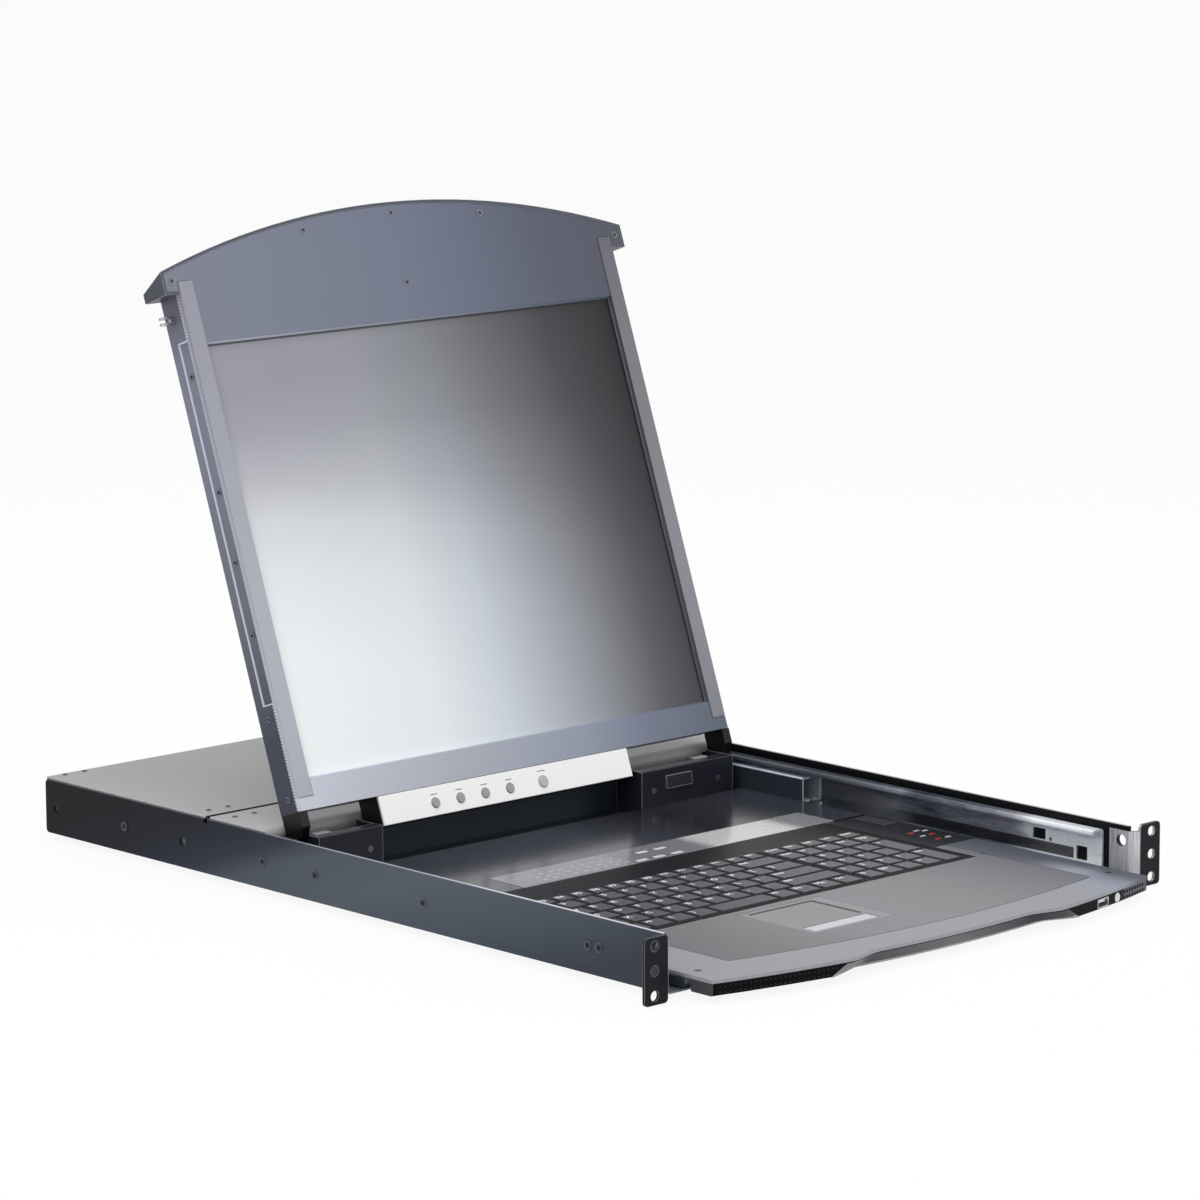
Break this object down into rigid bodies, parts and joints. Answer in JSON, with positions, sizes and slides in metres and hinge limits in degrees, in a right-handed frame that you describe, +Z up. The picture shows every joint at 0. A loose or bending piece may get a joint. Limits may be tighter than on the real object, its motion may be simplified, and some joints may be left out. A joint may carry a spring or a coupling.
{
  "type": "rackmount lcd console drawer",
  "caption": "One-unit rack drawer on ball-bearing slides with a keyboard, touchpad and fold-up display, and a row of console sockets behind.",
  "frame": {"origin": "centre of the four outer rack holes, in the front plane of the rack ears", "axes": "+X to the right, +Y to the rear, +Z up"},
  "size_m": [0.4826, 0.6876, 0.4452],
  "materials": {
    "ear": "fine black powder coat",
    "wall": "dark slate paint outside, zinc inside",
    "zinc": "zinc plated",
    "inner_zinc": "blue zinc plated",
    "ball": "polished steel balls in a steel cage",
    "pan": "zinc plated sheet",
    "cover": "matt grey powder coat",
    "screw": "nickel plated",
    "connector": "blue connector bodies in steel shells",
    "black_plastic": "fine texture",
    "board": "green solder mask",
    "supply": "plain steel",
    "palm": "fine grain grey",
    "touch": "smooth dark grey",
    "touch_button": "satin grey",
    "bezel": "fine texture",
    "lip": "satin dark grey",
    "shell_metal": "bright steel",
    "key": "matt dark grey",
    "frame": "matt grey",
    "strip": "gloss light grey",
    "deck": "gloss black",
    "box": "dark grey powder coat",
    "steel": "plain steel",
    "lid_shell": "slate grey paint",
    "lid_frame": "satin slate grey",
    "screen": "matt glass face",
    "cap": "satin slate grey",
    "cap_plate": "satin blue grey",
    "bar": "fine texture",
    "bar_face": "gloss white",
    "button": "gloss light grey",
    "arm": "black"
  },
  "bodies": {
    "chassis": {"side_walls": "wall", "rack_ears": "ear", "slide_outer_members": "zinc", "bottom_pan": "pan", "electronics_bay": "pan", "rear_panel": "ear", "rear_cover": "cover", "chassis_screws": "screw", "console_ports": "connector", "power_inlet": "black_plastic", "switch_housing": "black_plastic", "console_board": "board", "power_supply": "supply"},
    "cages": {"ball_cages": "ball"},
    "rocker": {"switch_rocker": "black_plastic"},
    "tray": {"tray_pan": "inner_zinc", "palm_rest": "palm", "touchpad": "touch", "front_bezel": "bezel", "handle_lip": "lip", "usb_socket": "shell_metal", "keyboard_base": "black_plastic", "keyboard_frame": "frame", "port_strip": "strip", "lock_panel": "frame", "rear_deck": "deck", "hinge_boxes": "box", "hinge_pivots": "steel", "tray_box": "box", "middle_cover": "cover", "tray_screws": "screw", "slide_inner_members": "inner_zinc"},
    "display": {"lcd_back_shell": "lid_shell", "lcd_front_frame": "lid_frame", "lcd_screen": "screen", "lcd_boards": "board", "lcd_cap": "cap", "lcd_cap_plate": "cap_plate", "control_bar": "bar", "control_face": "bar_face", "hinge_arms": "arm", "lid_screws": "screw"},
    "press_function_keys_part": {"function_keys": "key"},
    "press_number_keys_part": {"number_keys": "key"},
    "press_upper_keys_part": {"upper_keys": "key"},
    "press_home_keys_part": {"home_keys": "key"},
    "press_lower_keys_part": {"lower_keys": "key"},
    "press_bottom_keys_part": {"bottom_keys": "key"},
    "press_space_bar_part": {"space_bar": "key"},
    "press_number_pad_part": {"number_pad": "key"},
    "press_touch_left_part": {"touch_button_left": "touch_button"},
    "press_touch_right_part": {"touch_button_right": "touch_button"},
    "press_reset_part": {"reset_button": "shell_metal"},
    "press_menu_1_part": {"menu_button_1": "button"},
    "press_menu_2_part": {"menu_button_2": "button"},
    "press_menu_3_part": {"menu_button_3": "button"},
    "press_menu_4_part": {"menu_button_4": "button"},
    "press_power_part": {"power_button": "button"},
    "release_latch_right_part": {"latch_right": "arm"},
    "release_latch_left_part": {"latch_left": "arm"}
  },
  "joints": [
    {"name": "tray_slide", "type": "slide", "parent": "chassis", "child": "tray", "axis": [0, -1, 0], "range_m": [0, 0.43]},
    {"name": "cage_slide", "type": "slide", "parent": "chassis", "child": "cages", "axis": [0, -1, 0], "range_m": [0, 0.215]},
    {"name": "display_hinge", "type": "hinge", "parent": "tray", "child": "display", "pos_m": [0, 0.3846, 0.0112], "axis": [1, 0, 0], "range_deg": [-10, 109.6]},
    {"name": "power_switch", "type": "hinge", "parent": "chassis", "child": "rocker", "pos_m": [-0.138, 0.637, 0.002], "axis": [1, 0, 0], "range_deg": [-18, 0]},
    {"name": "press_function_keys", "type": "slide", "parent": "tray", "child": "press_function_keys_part", "axis": [0, 0, -1], "range_m": [0, 0.0018], "stiffness_N_per_m": 300},
    {"name": "press_number_keys", "type": "slide", "parent": "tray", "child": "press_number_keys_part", "axis": [0, 0, -1], "range_m": [0, 0.0018], "stiffness_N_per_m": 300},
    {"name": "press_upper_keys", "type": "slide", "parent": "tray", "child": "press_upper_keys_part", "axis": [0, 0, -1], "range_m": [0, 0.0018], "stiffness_N_per_m": 300},
    {"name": "press_home_keys", "type": "slide", "parent": "tray", "child": "press_home_keys_part", "axis": [0, 0, -1], "range_m": [0, 0.0018], "stiffness_N_per_m": 300},
    {"name": "press_lower_keys", "type": "slide", "parent": "tray", "child": "press_lower_keys_part", "axis": [0, 0, -1], "range_m": [0, 0.0018], "stiffness_N_per_m": 300},
    {"name": "press_bottom_keys", "type": "slide", "parent": "tray", "child": "press_bottom_keys_part", "axis": [0, 0, -1], "range_m": [0, 0.0018], "stiffness_N_per_m": 300},
    {"name": "press_space_bar", "type": "slide", "parent": "tray", "child": "press_space_bar_part", "axis": [0, 0, -1], "range_m": [0, 0.0018], "stiffness_N_per_m": 300},
    {"name": "press_number_pad", "type": "slide", "parent": "tray", "child": "press_number_pad_part", "axis": [0, 0, -1], "range_m": [0, 0.0018], "stiffness_N_per_m": 300},
    {"name": "press_touch_left", "type": "slide", "parent": "tray", "child": "press_touch_left_part", "axis": [0, 0, -1], "range_m": [0, 0.0008], "stiffness_N_per_m": 300},
    {"name": "press_touch_right", "type": "slide", "parent": "tray", "child": "press_touch_right_part", "axis": [0, 0, -1], "range_m": [0, 0.0008], "stiffness_N_per_m": 300},
    {"name": "press_reset", "type": "slide", "parent": "tray", "child": "press_reset_part", "axis": [-0.2037, 0.979, 0], "range_m": [0, 0.0007], "stiffness_N_per_m": 300},
    {"name": "press_menu_1", "type": "slide", "parent": "display", "child": "press_menu_1_part", "axis": [0, 0.9421, -0.3355], "range_m": [0, 0.0008], "stiffness_N_per_m": 300},
    {"name": "press_menu_2", "type": "slide", "parent": "display", "child": "press_menu_2_part", "axis": [0, 0.9421, -0.3355], "range_m": [0, 0.0008], "stiffness_N_per_m": 300},
    {"name": "press_menu_3", "type": "slide", "parent": "display", "child": "press_menu_3_part", "axis": [0, 0.9421, -0.3355], "range_m": [0, 0.0008], "stiffness_N_per_m": 300},
    {"name": "press_menu_4", "type": "slide", "parent": "display", "child": "press_menu_4_part", "axis": [0, 0.9421, -0.3355], "range_m": [0, 0.0008], "stiffness_N_per_m": 300},
    {"name": "press_power", "type": "slide", "parent": "display", "child": "press_power_part", "axis": [0, 0.9421, -0.3355], "range_m": [0, 0.0008], "stiffness_N_per_m": 300},
    {"name": "release_latch_right", "type": "slide", "parent": "display", "child": "release_latch_right_part", "axis": [-1, 0, 0], "range_m": [0, 0.003], "stiffness_N_per_m": 500},
    {"name": "release_latch_left", "type": "slide", "parent": "display", "child": "release_latch_left_part", "axis": [1, 0, 0], "range_m": [0, 0.003], "stiffness_N_per_m": 500}
  ],
  "couplings": [
    {"joint": "cage_slide", "follows": "tray_slide", "ratio": 0.5}
  ]
}
